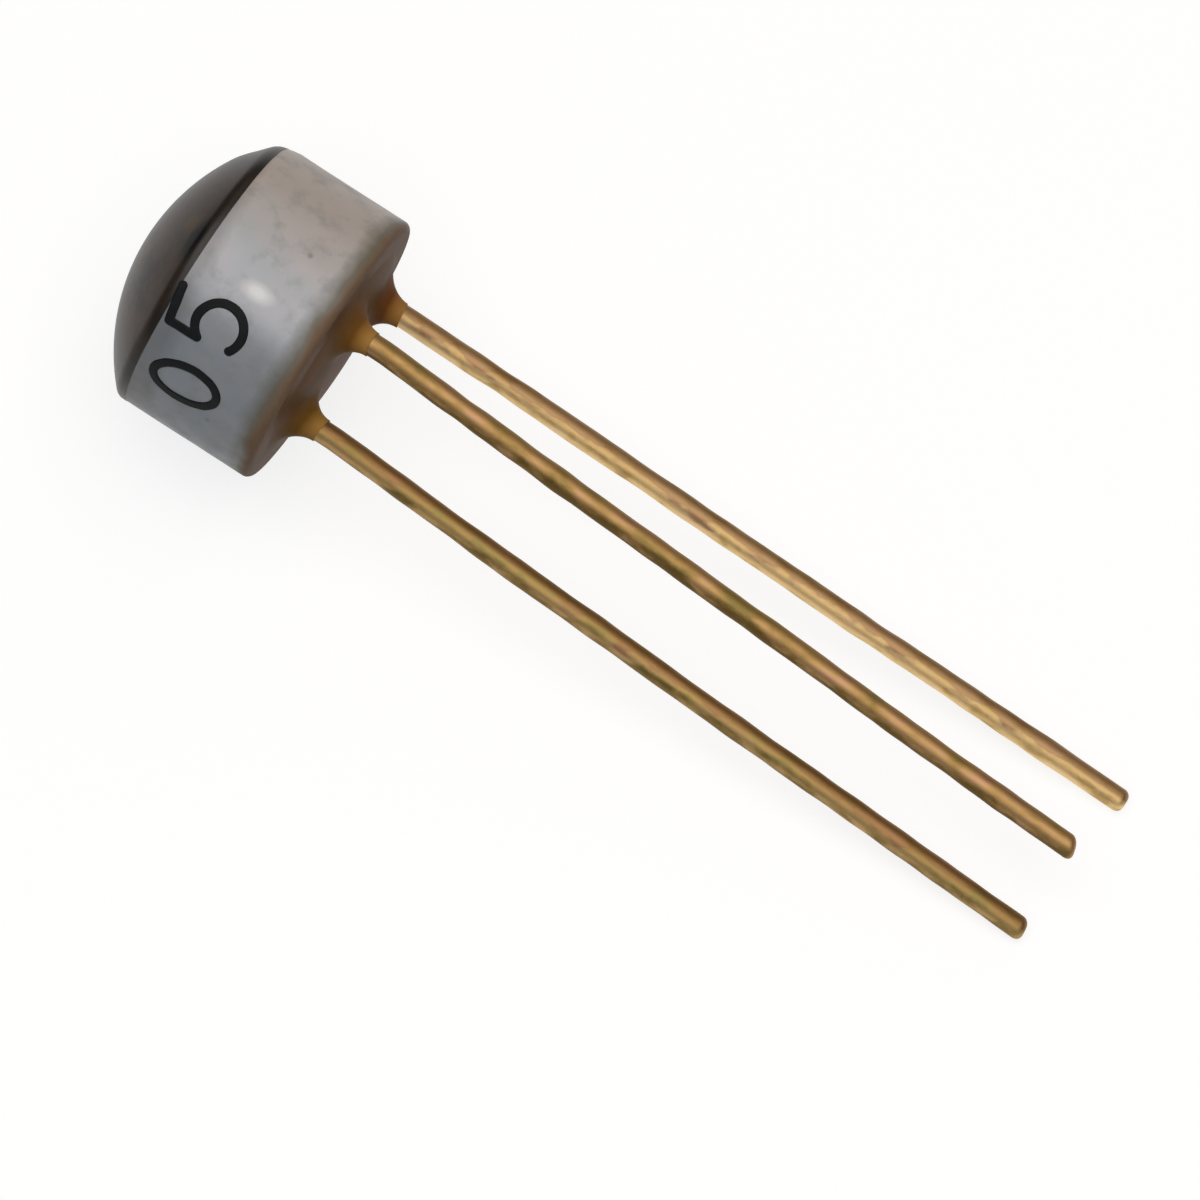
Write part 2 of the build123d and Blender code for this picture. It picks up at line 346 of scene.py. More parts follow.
# One spot on the side is smoother than the rest, and is painted paler as a highlight
glint_offset = add_node(
    tree, "VectorMath", {0: place, 1: around_body(body_radius, -18.5, 1.3 * MM)}, operation="SUBTRACT"
)
glint_offset = add_node(tree, "VectorMath", {0: glint_offset.outputs["Vector"], 1: (1, 1, 0.55)}, operation="MULTIPLY")
glint_offset = add_node(tree, "VectorMath", {0: glint_offset.outputs["Vector"]}, operation="LENGTH")
smooth_spot_and_glint = add_node(
    tree,
    "MapRange",
    {"Value": glint_offset.outputs["Value"], "From Min": 0.20 * MM, "From Max": 0.04 * MM, "To Max": 0.95},
)
# The layers lie over the clean skin in this order
skin = clean.outputs["Color"]
for depth, code in (
    (near_side_shade, "6d7173"),
    (far_side_warm_light, "b5a79c"),
    (stained, "797c78"),
    (specks, "57524c"),
    (tide, "5d5948"),
    (smear, "6f543b"),
    (grime_and_shade, "5a5653"),
    (smooth_spot_and_glint, "dddcda"),
):
    layer = add_node(
        tree, "Mix", {"Factor": depth.outputs["Result"], "A": skin, "B": colour(code)}, data_type="RGBA"
    )
    skin = layer.outputs["Result"]
# Real grain is too fine to show, so it is drawn 0.05 mm coarse
grain = add_node(tree, "TexNoise", {"Vector": place, "Scale": per(0.05), "Detail": 2})
grain_bump = add_node(
    tree, "Bump", {"Height": grain.outputs["Fac"], "Strength": 0.25, "Distance": 0.004 * MM}
)
shine = add_node(
    tree,
    "MapRange",
    {"Value": stains.outputs["Fac"], "From Min": 0.3, "From Max": 0.7, "To Min": 0.36, "To Max": 0.5},
)
shine = add_node(tree, "Mix", {"Factor": smooth_spot_and_glint.outputs["Result"], "A": shine.outputs["Result"], "B": 0.25})
shine = add_node(tree, "Mix", {"Factor": smear.outputs["Result"], "A": shine.outputs["Result"], "B": 0.75})
surface = add_node(
    tree,
    "BsdfPrincipled",
    {
        "Base Color": skin,
        "Roughness": shine.outputs["Result"],
        "IOR": 1.76,
        "Specular IOR Level": 0.3,
        "Subsurface Weight": 0.15,
        "Subsurface Radius": (1.0, 0.9, 0.8),
        "Subsurface Scale": 0.25 * MM,
        "Normal": grain_bump.outputs["Normal"],
    },
)
add_node(tree, "OutputMaterial", {"Surface": surface.outputs["BSDF"]})

# The ring's wall from the web's underside, round the outside and down to the web's top
ring_profile = (
    [(recess_radius, recess_depth), (recess_radius, 0)]
    + arc((body_radius - base_rounding, base_rounding), base_rounding, -90, 0)
    + [
        (body_radius, header_height - top_chamfer),
        (body_radius - top_chamfer, header_height),
        (cavity_radius, header_height),
        (cavity_radius, web_top),
    ]
)
header = turned(divided(ring_profile))
for vertex in header.verts:
    if vertex.co.xy.length > dented_from:
        dent = 0.5 + 0.5 * noise.noise(vertex.co * per(1.4)) + 0.2 * noise.noise(vertex.co * per(0.35))
        vertex.co.xy -= vertex.co.xy.normalized() * pressing_dents * clamped(dent)
holes = [circle(pin, lead_hole_radius, lead_corners) for pin in pins.values()]
web_sides = []
for radius, height in ((recess_radius, recess_depth), (cavity_radius, web_top)):
    edge = circle((0, 0), radius, ring_corners)
    web_sides.append(
        add_sheet(header, [edge] + holes, lead_hole_radius, lead_hole_radius, lambda spot: height)
    )
for lower, upper in zip(web_sides[0][1:], web_sides[1][1:]):
    add_wall(header, lower, upper)
bmesh.ops.remove_doubles(header, verts=header.verts, dist=0.0001 * MM)
wear_far_corner(header)
add_piece("ceramic_header", header, alumina)

# Leads
# Drawn nickel-iron wire, headed like a nail at the chip's end, cut by hand at the other and gold
# plated. The plating is satin, with drawing lines, and painted shade darkens both its sides brown.

lead_radius = 0.20 * MM
lead_head_radius = 0.31 * MM
lead_head_thickness = 0.12 * MM
head_rounding = 0.03 * MM
film_top = web_top + 0.02 * MM
head_top = film_top + lead_head_thickness
straight_below_seat = 0.80 * MM
lead_tip_round = 0.13 * MM
tip_cut_reach = 2.5 * lead_radius
waviness = 0.02 * MM
radius_waviness = 0.7
wave_fade = 1.5 * MM
shank_stations = 8
bend_stations = 7
wire_stations = 160
wire_corners = 48
# The painted shade is reddest on this side of each wire, given along the wire's own X and Y
toward_far_side = Vector((-0.37, 0.93, 0))
painted_shade_fade = 0.5
leads = {
    "emitter_lead": {
        "length": 15.21 * MM,
        "slant": 2,
        "seed": 3,
        "plating": [(0.34, "d0af75"), (0.46, "ebcc90"), (0.58, "f2d29d"), (0.70, "e9c495")],
        "far_painted_shade": (-0.35, 0.7),
        "near_painted_shade": (-0.8, 0.1),
        "bow": 0,
    },
    "base_lead": {
        "length": 14.93 * MM,
        "slant": 20,
        "seed": 11,
        "plating": [(0.34, "8f7b46"), (0.46, "a58451"), (0.58, "ae8b5c"), (0.70, "b08866")],
        "far_painted_shade": (0.55, 0.35),
        "near_painted_shade": (-0.45, 0.95),
        "bow": 0.03 * MM,
    },
    "collector_lead": {
        "length": 14.96 * MM,
        "slant": 9,
        "seed": 29,
        "plating": [(0.34, "9a8850"), (0.46, "b1935c"), (0.58, "b99a67"), (0.70, "ba946a")],
        "far_painted_shade": (-0.35, 0.6),
        "near_painted_shade": (-0.55, 0.8),
        "bow": 0.03 * MM,
    },
}


def swept(stations, side, sides):
    """Closed mesh through stations of (middle, direction, radius), none of them along the side."""
    mesh = bmesh.new()
    rings = []
    for middle, direction, radius in stations:
        if radius < point_radius:
            rings.append([mesh.verts.new(middle)] * sides)
            continue
        across = (side - direction * side.dot(direction)).normalized()
        upward = across.cross(direction)
        angles = [2 * math.pi * i / sides for i in range(sides)]
        rings.append(
            [mesh.verts.new(middle + (upward * math.cos(a) + across * math.sin(a)) * radius) for a in angles]
        )
    for ring, after in zip(rings, rings[1:]):
        add_wall(mesh, ring, after)
    return mesh


def gold_plate(name, lead):
    """Gold over nickel on drawn wire: satin, lined along the wire, with painted shade along its sides."""
    material, tree, place = new_material(name)
    shift = add_node(tree, "VectorMath", {0: place, 1: (0, 0, lead["seed"] * MM)}, operation="ADD")
    along = add_node(tree, "VectorMath", {0: shift.outputs["Vector"], 1: (1, 1, 0.45)}, operation="MULTIPLY")
    patches = add_node(
        tree,
        "TexNoise",
        {"Vector": along.outputs["Vector"], "Scale": per(0.25), "Detail": 3, "Roughness": 0.5},
    )
    plating = add_node(tree, "ValToRGB", {"Fac": patches.outputs["Fac"]}, stops=lead["plating"])
    ragged = add_node(
        tree,
        "MapRange",
        {"Value": patches.outputs["Fac"], "From Min": 0.3, "From Max": 0.7, "To Min": -0.4, "To Max": 0.4},
    )
    turn = add_node(tree, "VectorMath", {0: place, 1: toward_far_side / lead_radius}, operation="DOT_PRODUCT")
    turn = add_node(tree, "Math", {0: turn.outputs["Value"], 1: ragged.outputs["Result"]}, operation="ADD")
    # Painted shade follows the two sides of the wire, the far one redder than the near one
    skin = plating.outputs["Color"]
    for (start, amount), fade, code in (
        (lead["far_painted_shade"], painted_shade_fade, "6e4426"),
        (lead["near_painted_shade"], -painted_shade_fade, "70592f"),
    ):
        side = add_node(
            tree,
            "MapRange",
            {"Value": turn.outputs["Value"], "From Min": start, "From Max": start + fade, "To Max": amount},
        )
        layer = add_node(
            tree, "Mix", {"Factor": side.outputs["Result"], "A": skin, "B": colour(code)}, data_type="RGBA"
        )
        skin = layer.outputs["Result"]
    # Drawing lines, about 0.03 mm apart and 1.5 mm long
    lines_place = add_node(
        tree, "VectorMath", {0: shift.outputs["Vector"], 1: (1, 1, 0.02)}, operation="MULTIPLY"
    )
    lines = add_node(
        tree, "TexNoise", {"Vector": lines_place.outputs["Vector"], "Scale": per(0.03), "Detail": 2}
    )
    lines_bump = add_node(
        tree, "Bump", {"Height": lines.outputs["Fac"], "Strength": 0.3, "Distance": 0.003 * MM}
    )
    shine = add_node(
        tree,
        "MapRange",
        {"Value": patches.outputs["Fac"], "From Min": 0.3, "From Max": 0.7, "To Min": 0.60, "To Max": 0.50},
    )
    surface = add_node(
        tree,
        "BsdfPrincipled",
        {
            "Base Color": skin,
            "Metallic": 1.0,
            "Roughness": shine.outputs["Result"],
            "Normal": lines_bump.outputs["Normal"],
        },
    )
    add_node(tree, "OutputMaterial", {"Surface": surface.outputs["BSDF"]})
    return material


for name, lead in leads.items():
    mount = mounts[name + "_wire"]
    run = Vector(mount["axis"]).normalized()
    bend_start = body @ (pins[name] - Vector((0, 0, straight_below_seat)))
    bend_end = Vector(mount["pos_m"]) - run * mount["dims"]["length_mm"] / 2 * MM
    tip_distance = (bend_start - bend_end).dot(run) + lead["length"] - straight_below_seat
    handle = (bend_end - bend_start).length / 3
    across = (to_emitter - run * to_emitter.dot(run)).normalized()
    lead_place = Matrix((across.cross(run), across, run)).transposed().to_4x4()
    lead_place.translation = bend_end

    # Head and shank, the slight bend, then the free length with the faint waves of hand straightening
    stations = [(body @ (pins[name] + Vector((0, 0, head_top))), -to_dome, 0)]
    head_edge = lead_head_radius - head_rounding
    head_profile = (
        arc((head_edge, -head_rounding), head_rounding, 90, 0, 4)
        + arc((head_edge, head_rounding - lead_head_thickness), head_rounding, 0, -90, 4)
        + [(lead_radius, -lead_head_thickness)]
    )
    for radius, drop in head_profile:
        stations.append((body @ (pins[name] + Vector((0, 0, head_top + drop))), -to_dome, radius))
    for i in range(1, shank_stations + 1):
        depth = film_top - (film_top + straight_below_seat) * i / shank_stations
        stations.append((body @ (pins[name] + Vector((0, 0, depth))), -to_dome, lead_radius))
    bend = geometry.interpolate_bezier(
        bend_start, bend_start - to_dome * handle, bend_end - run * handle, bend_end, bend_stations
    )
    for before, point, after in zip(bend, bend[1:], bend[2:]):
        stations.append((point, (after - before).normalized(), lead_radius))
    for i in range(wire_stations + 1):
        distance = (tip_distance - lead_tip_round) * i / wire_stations
        swing = min(1, distance / wave_fade, (tip_distance - distance) / wave_fade) * waviness
        sway = noise.noise(Vector((distance * per(2.2), lead["seed"], 0.5)))
        lift = noise.noise(Vector((distance * per(2.2), lead["seed"], 5.5)))
        swell = noise.noise(Vector((distance * per(0.5), lead["seed"], 9.5)))
        middle = bend_end + run * distance + (across * sway + across.cross(run) * lift) * swing
        middle -= across * lead["bow"] * math.sin(math.pi * distance / tip_distance)
        stations.append((middle, run, lead_radius + radius_waviness * swing * swell))
    for out, rise in arc((lead_radius - lead_tip_round, 0), lead_tip_round, 0, 90, 6)[1:]:
        stations.append((bend_end + run * (tip_distance - lead_tip_round + rise), run, out))
    stations.append((bend_end + run * tip_distance, run, 0))
    wire = swept(stations, to_emitter, wire_corners)
    bmesh.ops.transform(wire, matrix=lead_place.inverted(), verts=wire.verts)
    for vertex in wire.verts:
        near_tip = clamped(1 - (tip_distance - vertex.co.z) / tip_cut_reach)
        vertex.co.z -= math.tan(math.radians(lead["slant"])) * vertex.co.y * near_tip
    add_piece(name, wire, gold_plate("gold_plated_drawn_wire_" + name, lead), lead_place)

# Chip and films
# Gold film is fired on the web round each lead and under the chip. The silicon chip is soldered
# to it and has two metal bond pads. These are the CAD's own solids, with their finishes.

# Gold paste fires to a satin, faintly mottled film
gold_film, tree, place = new_material("fired_gold_film")
mottle = add_node(tree, "TexNoise", {"Vector": place, "Scale": per(0.12), "Detail": 3})
film_colour = add_node(
    tree, "ValToRGB", {"Fac": mottle.outputs["Fac"]}, stops=[(0.35, "c79a52"), (0.65, "e3bd75")]
)
film_bump = add_node(tree, "Bump", {"Height": mottle.outputs["Fac"], "Strength": 0.4, "Distance": 0.004 * MM})
surface = add_node(
    tree,
    "BsdfPrincipled",
    {
        "Base Color": film_colour.outputs["Color"],
        "Metallic": 1.0,
        "Roughness": 0.38,
        "Normal": film_bump.outputs["Normal"],
    },
)
add_node(tree, "OutputMaterial", {"Surface": surface.outputs["BSDF"]})

# Reflowed solder is a bright grey metal with faint ripples
solder, tree, place = new_material("reflowed_solder")
ripples = add_node(tree, "TexNoise", {"Vector": place, "Scale": per(0.08), "Detail": 2})
solder_colour = add_node(
    tree, "ValToRGB", {"Fac": ripples.outputs["Fac"]}, stops=[(0.3, "a9a9a6"), (0.7, "c9c9c6")]
)
surface = add_node(
    tree,
    "BsdfPrincipled",
    {"Base Color": solder_colour.outputs["Color"], "Metallic": 1.0, "Roughness": 0.3},
)
add_node(tree, "OutputMaterial", {"Surface": surface.outputs["BSDF"]})

# Silicon is a dark grey, mirror-polished semiconductor, here under a thin bluish oxide
silicon, tree, place = new_material("polished_silicon")
oxide = add_node(tree, "TexNoise", {"Vector": place, "Scale": per(0.3), "Detail": 1})
oxide_colour = add_node(
    tree, "ValToRGB", {"Fac": oxide.outputs["Fac"]}, stops=[(0.3, "23262f"), (0.7, "2f333c")]
)
surface = add_node(
    tree,
    "BsdfPrincipled",
    {"Base Color": oxide_colour.outputs["Color"], "Roughness": 0.12, "IOR": 2.4},
)
add_node(tree, "OutputMaterial", {"Surface": surface.outputs["BSDF"]})

# Evaporated aluminium is bright, with the faint marks of the test probes
pad_metal, tree, place = new_material("evaporated_aluminium")
probe_marks = add_node(tree, "TexNoise", {"Vector": place, "Scale": per(0.04), "Detail": 2})
pad_colour = add_node(
    tree, "ValToRGB", {"Fac": probe_marks.outputs["Fac"]}, stops=[(0.35, "bfc1c4"), (0.65, "dfe0e2")]
)
surface = add_node(
    tree,
    "BsdfPrincipled",
    {"Base Color": pad_colour.outputs["Color"], "Metallic": 1.0, "Roughness": 0.25},
)
add_node(tree, "OutputMaterial", {"Surface": surface.outputs["BSDF"]})

finishes = {
    "collector_pad": gold_film,
    "emitter_land": gold_film,
    "base_land": gold_film,
    "die_attach": solder,
    "silicon_chip": silicon,
    "base_bond_pad": pad_metal,
    "emitter_bond_pad": pad_metal,
}
for node, finish in finishes.items():
    data = frame["nodes"][node].data
    keep_own_place(data)
    data.materials.clear()
    data.materials.append(finish)

# Bond wires
# Fine drawn gold, 0.03 mm thick: a ball pressed on the chip's pad, a loop, and a flat foot pressed
# on the head of the lead.

wire_radius = 0.015 * MM
ball_radius = 0.045 * MM
ball_height = 0.03 * MM
loop_height = 0.22 * MM
pad_reach = 0.26 * MM
crest_reach = pad_reach + 0.12 * MM
foot_reach = 1.09 * MM
foot_drop = 0.25 * MM
crest_run_in = 0.08 * MM
crest_run_out = 0.4 * MM
foot_lean = 0.03 * MM
rise_stations = 12
fall_stations = 24
pad_top = film_top + 0.23 * MM
bond_wire_corners = 20
upward = Vector((0, 0, 1))
# Rings of the ball and of the foot: share of the ball's height, share of its radius
ball_rings = [(0, 0), (0, 0.8), (0.5, 1), (1, 0.7)]
foot_rings = [(0.5, 0.8), (0, 1), (0, 0)]

# Fine gold wire is drawn bright, and keeps its colour
bond_gold, tree, place = new_material("fine_gold_bond_wire")
drawing = add_node(tree, "TexNoise", {"Vector": place, "Scale": per(0.05), "Detail": 1})
bond_colour = add_node(
    tree, "ValToRGB", {"Fac": drawing.outputs["Fac"]}, stops=[(0.3, "d9ab55"), (0.7, "efc878")]
)
surface = add_node(
    tree,
    "BsdfPrincipled",
    {"Base Color": bond_colour.outputs["Color"], "Metallic": 1.0, "Roughness": 0.22},
)
add_node(tree, "OutputMaterial", {"Surface": surface.outputs["BSDF"]})

for name, outward in (("base_wire", Vector((1, 0, 0))), ("emitter_wire", Vector((0, 1, 0)))):
    ball = outward * pad_reach + upward * pad_top
    foot = outward * foot_reach + upward * head_top
    crest = outward * crest_reach + upward * (pad_top + loop_height - wire_radius)
    rise = geometry.interpolate_bezier(
        ball + upward * ball_height,
        ball + upward * loop_height * 0.8,
        crest - outward * crest_run_in,
        crest,
        rise_stations,
    )
    fall = geometry.interpolate_bezier(
        crest,
        crest + outward * crest_run_out,
        foot + upward * foot_drop - outward * foot_lean,
        foot + upward * ball_height * 0.6,
        fall_stations,
    )
    path = rise + fall[1:]
    stations = [(ball + upward * ball_height * up, upward, ball_radius * out) for up, out in ball_rings]
    for before, point, after in zip([ball] + path, path, path[1:] + [foot]):
        stations.append((point, (after - before).normalized(), wire_radius))
    stations += [(foot + upward * ball_height * up, -upward, ball_radius * out) for up, out in foot_rings]
    side = Vector((-outward.y, outward.x, 0))
    add_piece(name, swept(stations, side, bond_wire_corners), bond_gold)

# Lens
# Clear epoxy with a smoky grey-brown dye, cast into the cavity and domed over the end of the ring
# by its own surface tension. It is dark, and age has dulled its gloss.

dome_height = 1.03 * MM
lens_rim = header_height + 0.07 * MM
shoulder_radius = 0.20 * MM
embedding = 0.003 * MM
# The middle of the lens's painted shadow streak
shadow_streak_spot = around_body(2.45 * MM, -14.6, 2.68 * MM)
ochre_spot = around_body(2.2 * MM, -7, 2.90 * MM)
dome_radius = (body_radius**2 + dome_height**2) / (2 * dome_height)
dome_middle = (0, lens_rim + dome_height - dome_radius)
shoulder_out = body_radius - shoulder_radius
shoulder_up = math.sqrt((dome_radius - shoulder_radius) ** 2 - shoulder_out**2)
shoulder_angle = math.degrees(math.atan2(shoulder_up, shoulder_out))

# Cast epoxy sets with a smooth skin. This one is half clear and half cloudy, and no longer bright
smoky_epoxy, tree, place = new_material("smoky_cast_epoxy")
dye = add_node(tree, "TexNoise", {"Vector": place, "Scale": per(0.8), "Detail": 3, "Roughness": 0.55})
dyed = add_node(
    tree,
    "ValToRGB",
    {"Fac": dye.outputs["Fac"]},
    stops=[(0.36, "35261a"), (0.45, "4e3c2a"), (0.54, "5b4433"), (0.64, "464030")],
)
# Its far half is painted darker brown as shade, and painted shade darkens it most along its edge
parts = add_node(tree, "SeparateXYZ", {"Vector": place})
far_half_shade = add_node(
    tree,
    "MapRange",
    {
        "Value": parts.outputs["Y"],
        "From Min": -0.5 * body_radius,
        "From Max": 0.4 * body_radius,
        "To Max": 0.7,
    },
)
edge_shade = add_node(
    tree,
    "MapRange",
    {
        "Value": parts.outputs["Z"],
        "From Min": lens_rim + 0.20 * MM,
        "From Max": lens_rim - 0.07 * MM,
        "To Max": 0.75,
    },
)
# A near-black streak of painted shadow lies where it meets the ring
from_shadow_streak = add_node(tree, "VectorMath", {0: place, 1: shadow_streak_spot}, operation="SUBTRACT")
from_shadow_streak = add_node(tree, "VectorMath", {0: from_shadow_streak.outputs["Vector"], 1: (1, 1, 3)}, operation="MULTIPLY")
from_shadow_streak = add_node(tree, "VectorMath", {0: from_shadow_streak.outputs["Vector"]}, operation="LENGTH")
streak_waver = add_node(
    tree,
    "MapRange",
    {
        "Value": dye.outputs["Fac"],
        "From Min": 0.3,
        "From Max": 0.7,
        "To Min": -0.12 * MM,
        "To Max": 0.12 * MM,
    },
)
from_shadow_streak = add_node(tree, "Math", {0: from_shadow_streak.outputs["Value"], 1: streak_waver.outputs["Result"]}, operation="ADD")
painted_streak_shadow = add_node(
    tree,
    "MapRange",
    {"Value": from_shadow_streak.outputs["Value"], "From Min": 0.52 * MM, "From Max": 0.25 * MM, "To Max": 0.95},
)
# Beside that streak the colour turns to a lighter ochre patch
from_ochre_spot = add_node(tree, "VectorMath", {0: place, 1: ochre_spot}, operation="DISTANCE")
ochre_patch = add_node(
    tree,
    "MapRange",
    {"Value": from_ochre_spot.outputs["Value"], "From Min": 0.26 * MM, "From Max": 0.10 * MM, "To Max": 0.6},
)
skin = dyed.outputs["Color"]
for depth, code in (
    (far_half_shade, "36281a"),
    (edge_shade, "211c18"),
    (painted_streak_shadow, "0b0907"),
    (ochre_patch, "6b5433"),
):
    layer = add_node(
        tree, "Mix", {"Factor": depth.outputs["Result"], "A": skin, "B": colour(code)}, data_type="RGBA"
    )
    skin = layer.outputs["Result"]
surface = add_node(
    tree,
    "BsdfPrincipled",
    {
        "Base Color": skin,
        "Roughness": 0.36,
        "IOR": 1.54,
        "Specular IOR Level": 0.06,
        "Transmission Weight": 0.5,
    },
)
smoke = add_node(tree, "VolumeAbsorption", {"Color": colour("8f7f70"), "Density": 1500.0})
add_node(tree, "OutputMaterial", {"Surface": surface.outputs["BSDF"], "Volume": smoke.outputs["Volume"]})

plug_radius = cavity_radius + embedding
lens_profile = [(0, lens_rim + dome_height)]
lens_profile += arc(dome_middle, dome_radius, 90, shoulder_angle, 48)[1:]
lens_profile += arc((shoulder_out, dome_middle[1] + shoulder_up), shoulder_radius, shoulder_angle, 0, 8)[1:]
lens_profile += [
    (body_radius, header_height - top_chamfer),
    (body_radius - top_chamfer, header_height - embedding),
    (plug_radius, header_height - embedding),
    (plug_radius, web_top - embedding),
    (0, web_top - embedding),
]
lens = turned(divided(lens_profile))
wear_far_corner(lens)
add_piece("epoxy_lens", lens, smoky_epoxy)

# Potting
# Brown filled epoxy, poured into the recess of the base and a little over its edge. It set with a
# slight bulge, and climbs each lead in a concave fillet, where it is thin enough to glow amber.

potting_crown = 0.22 * MM
meniscus_radius = 0.45 * MM
meniscus_foot = 0.67 * MM
meniscus_loops = 12
lap_radius = 2.40 * MM
lap_film = 0.02 * MM
lap_fade = 0.35 * MM

# Filled epoxy is an opaque brown with faint swirls, and sets with a satin skin
potting, tree, place = new_material("brown_potting_epoxy")
swirl = add_node(tree, "TexNoise", {"Vector": place, "Scale": per(0.9), "Detail": 3, "Distortion": 0.6})
brown = add_node(
    tree,
    "ValToRGB",
    {"Fac": swirl.outputs["Fac"]},
    stops=[(0.35, "6c5237"), (0.5, "75573c"), (0.65, "7c5641")],
)
flat = add_node(tree, "VectorMath", {0: place, 1: (1, 1, 0)}, operation="MULTIPLY")
nearest = 1.0
for pin in pins.values():
    away = add_node(tree, "VectorMath", {0: flat.outputs["Vector"], 1: pin}, operation="DISTANCE")
    nearer = add_node(tree, "Math", {0: away.outputs["Value"], 1: nearest}, operation="MINIMUM")
    nearest = nearer.outputs["Value"]
glow = add_node(
    tree, "MapRange", {"Value": nearest, "From Min": 0.72 * MM, "From Max": 0.30 * MM, "To Max": 0.9}
)
# Thin epoxy on the gold is olive at the collector lead and redder at the emitter lead
parts = add_node(tree, "SeparateXYZ", {"Vector": place})
redness = add_node(
    tree,
    "MapRange",
    {"Value": parts.outputs["Y"], "From Min": -0.5 * pin_circle_radius, "From Max": 1.2 * pin_circle_radius},
)
thin = add_node(
    tree,
    "Mix",
    {"Factor": redness.outputs["Result"], "A": colour("77531b"), "B": colour("74411f")},
    data_type="RGBA",
)
amber = add_node(
    tree,
    "Mix",
    {"Factor": glow.outputs["Result"], "A": brown.outputs["Color"], "B": thin.outputs["Result"]},
    data_type="RGBA",
)
# Round each lead the epoxy thins to a clear film, and the gold shows through it
film = add_node(
    tree, "MapRange", {"Value": nearest, "From Min": 0.32 * MM, "From Max": 0.21 * MM, "To Max": 0.65}
)
filmed = add_node(
    tree,
    "Mix",
    {"Factor": film.outputs["Result"], "A": amber.outputs["Result"], "B": colour("c08f4c")},
    data_type="RGBA",
)
surface = add_node(
    tree,
    "BsdfPrincipled",
    {
        "Base Color": filmed.outputs["Result"],
        "Roughness": 0.5,
        "IOR": 1.5,
        "Specular IOR Level": 0.04,
        "Subsurface Weight": 0.3,
        "Subsurface Radius": (1.0, 0.5, 0.2),
        "Subsurface Scale": 0.2 * MM,
    },
)
add_node(tree, "OutputMaterial", {"Surface": surface.outputs["BSDF"]})


def potting_height(spot):
    """Height of the poured surface: a slight bulge, and a fillet that climbs each lead."""
    bulge = potting_crown * max(0, 1 - (spot.length / recess_radius) ** 3)
    film = lap_film * min(1, (lap_radius - spot.length) / lap_fade)
    inside = min(meniscus_radius, max(0, meniscus_foot - nearest_lead(spot)))
    climb = meniscus_radius - math.sqrt(max(0, meniscus_radius**2 - inside**2))
    return -bulge - climb - film


potting_mesh = bmesh.new()
rim = circle((0, 0), lap_radius, ring_corners)
poured_loops = [rim] + [circle(pin, lead_radius, lead_corners) for pin in pins.values()]
for pin in pins.values():
    for i in range(meniscus_loops):
        inset = meniscus_radius * math.sin(math.radians(90 - 90 * i / meniscus_loops))
        poured_loops.append(circle(pin, meniscus_foot - inset, lead_corners))
poured = add_sheet(potting_mesh, poured_loops, lead_radius, meniscus_foot, potting_height)
recess_edge = circle((0, 0), recess_radius, ring_corners)
hidden = add_sheet(
    potting_mesh, [recess_edge] + holes, lead_hole_radius, lead_hole_radius, lambda spot: recess_depth
)
lap_outer = [potting_mesh.verts.new((*spot, embedding)) for spot in rim]
lap_inner = [potting_mesh.verts.new((*spot, embedding)) for spot in recess_edge]
add_wall(potting_mesh, poured[0], lap_outer)
add_wall(potting_mesh, lap_outer, lap_inner)
add_wall(potting_mesh, lap_inner, hidden[0])
for pin, top_loop, hole_loop in zip(pins.values(), poured[1:], hidden[1:]):
    outer, inner = (
        [potting_mesh.verts.new((*spot, web_top)) for spot in circle(pin, radius, lead_corners)]
        for radius in (lead_hole_radius, lead_radius)
    )
    add_wall(potting_mesh, hole_loop, outer)
    add_wall(potting_mesh, outer, inner)
    add_wall(potting_mesh, inner, top_loop)
add_piece("base_potting", potting_mesh, potting)

# Printed digits
# Two plain digits, stamped on the fired ring in black ink with a rubber type. The film is thin and
# matt, with soft and slightly ragged edges.

ink_thickness = 0.016 * MM
ink_soak = 0.014 * MM
digit_half_width = 0.355 * MM
digit_half_height = 0.59 * MM
half_stroke = 0.08 * MM
print_skew = math.radians(9)
ink_cell = 0.0125 * MM
ink_columns = round(0.5 * MM / ink_cell)
ink_rows = round(0.72 * MM / ink_cell)
edge_raggedness = 0.10
bowl_middle = (-0.0607 * MM, -0.236 * MM)
bowl_radius = 0.4167 * MM
zero_line = [
    (digit_half_width * math.cos(math.radians(a)), digit_half_height * math.sin(math.radians(a)))
    for a in range(0, 361, 5)
]
five_line = [
    (digit_half_width, digit_half_height),
    (-digit_half_width * 0.8, digit_half_height),
    (-digit_half_width, digit_half_height * 0.1),
] + arc(bowl_middle, bowl_radius, 135, -135, 40)
digits = {
    "printed_zero": {"line": zero_line, "angle": math.radians(-66.5), "height": 1.57 * MM},
    "printed_five": {"line": five_line, "angle": math.radians(-37.2), "height": 1.77 * MM},
}

# Pigmented stamping ink is matt where it is thick, and greyer where the type left it thin
ink, tree, place = new_material("stamped_black_ink")
coverage = add_node(tree, "TexNoise", {"Vector": place, "Scale": per(0.12), "Detail": 3, "Roughness": 0.6})
ink_colour = add_node(
    tree,
    "ValToRGB",
    {"Fac": coverage.outputs["Fac"]},
    stops=[(0.3, "08090b"), (0.6, "0d1012"), (0.78, "1c1f21")],
)
surface = add_node(
    tree,
    "BsdfPrincipled",
    {"Base Color": ink_colour.outputs["Color"], "Roughness": 0.6, "IOR": 1.5, "Specular IOR Level": 0.2},
)
add_node(tree, "OutputMaterial", {"Surface": surface.outputs["BSDF"]})


def nearest_on(line, spot):
    """The point of a line that is nearest to a spot."""
    best = None
    for start, end in zip(line, line[1:]):
        start, end = Vector(start), Vector(end)
        part = clamped((spot - start).dot(end - start) / (end - start).length_squared)
        point = start.lerp(end, part)
        if best is None or (spot - point).length < (spot - best).length:
            best = point
    return best


